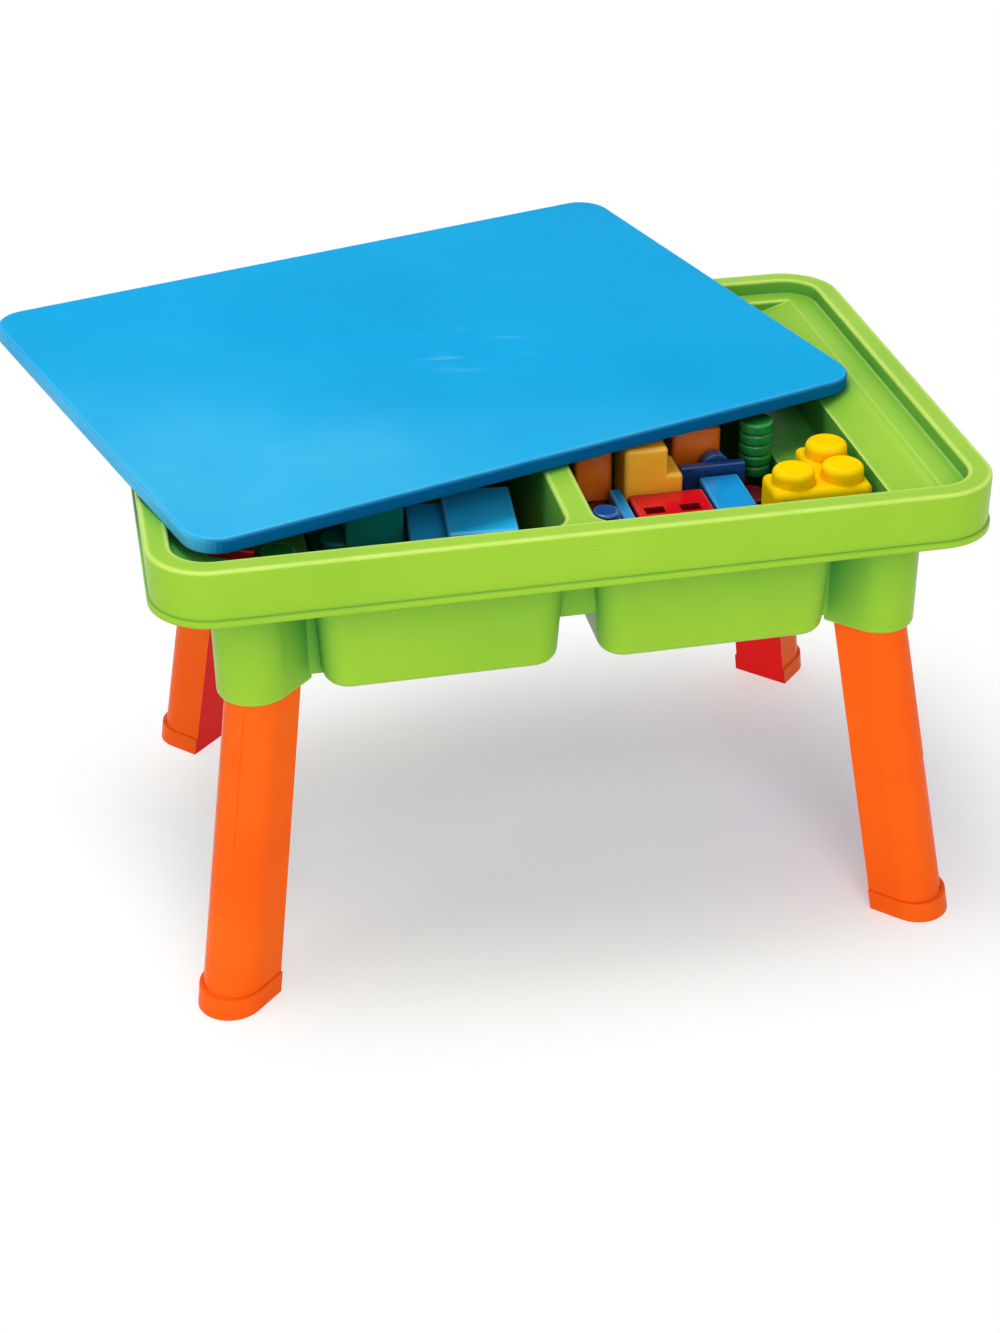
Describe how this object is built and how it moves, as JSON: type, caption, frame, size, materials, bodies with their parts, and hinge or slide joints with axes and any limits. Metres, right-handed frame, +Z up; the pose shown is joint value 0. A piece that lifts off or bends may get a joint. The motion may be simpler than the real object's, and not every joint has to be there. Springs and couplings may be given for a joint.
{
  "type": "children's storage table",
  "caption": "Low children's play table with a divided storage tray, a loose flat lid lying askew, splayed push-in legs with foot caps, and chunky toy blocks stored in its bins.",
  "frame": {"origin": "point on the floor midway between the feet, under the middle of the tray", "axes": "+X to the right along the tray's long side, +Y to the back, +Z up from the floor"},
  "size_m": [0.5516, 0.4572, 0.329],
  "materials": {
    "tray_green": "moulded, satin gloss",
    "lid_blue": "moulded, satin gloss",
    "leg_orange": "moulded, satin gloss",
    "toy_yellow": "moulded, glossy",
    "toy_amber": "moulded, glossy",
    "toy_red": "moulded, glossy",
    "toy_blue": "moulded, glossy",
    "toy_navy": "moulded, glossy",
    "toy_orange": "moulded, glossy",
    "toy_green": "moulded, glossy",
    "toy_sky": "moulded, glossy",
    "toy_teal": "moulded, glossy"
  },
  "bodies": {
    "table": {"tray": "tray_green", "brick_right_inner": "toy_red", "brick_right_outer": "toy_red", "brick_left_inner": "toy_yellow", "brick_left_outer": "toy_teal", "block_blue_strip": "toy_blue", "block_navy_plate": "toy_navy", "block_yellow_step": "toy_amber", "block_orange_near": "toy_orange", "block_orange_far": "toy_orange", "column_green_ribbed": "toy_green", "wheel_bar": "toy_navy", "block_sky_step": "toy_sky", "block_teal": "toy_teal", "block_green_single": "toy_green", "block_red_single": "toy_red", "leg_front_left": "leg_orange", "foot_front_left": "leg_orange", "leg_front_right": "leg_orange", "foot_front_right": "leg_orange", "leg_back_right": "leg_orange", "foot_back_right": "leg_orange", "leg_back_left": "leg_orange", "foot_back_left": "leg_orange"},
    "lid": {"lid": "lid_blue"},
    "yellow_block": {"block_yellow_corner": "toy_yellow"},
    "red_block": {"block_red_window": "toy_red"},
    "blue_block": {"block_blue_slab": "toy_blue"}
  },
  "joints": [
    {"name": "lid_lift", "type": "slide", "parent": "table", "child": "lid", "axis": [0, 0, 1], "range_m": [0, 0.25]},
    {"name": "yellow_block_lift", "type": "slide", "parent": "table", "child": "yellow_block", "axis": [0, 0, 1], "range_m": [0, 0.12]},
    {"name": "red_block_lift", "type": "slide", "parent": "table", "child": "red_block", "axis": [0, -0.5, 0.866], "range_m": [0, 0.12]},
    {"name": "blue_block_lift", "type": "slide", "parent": "table", "child": "blue_block", "axis": [0, -0.5, 0.866], "range_m": [0, 0.12]}
  ]
}
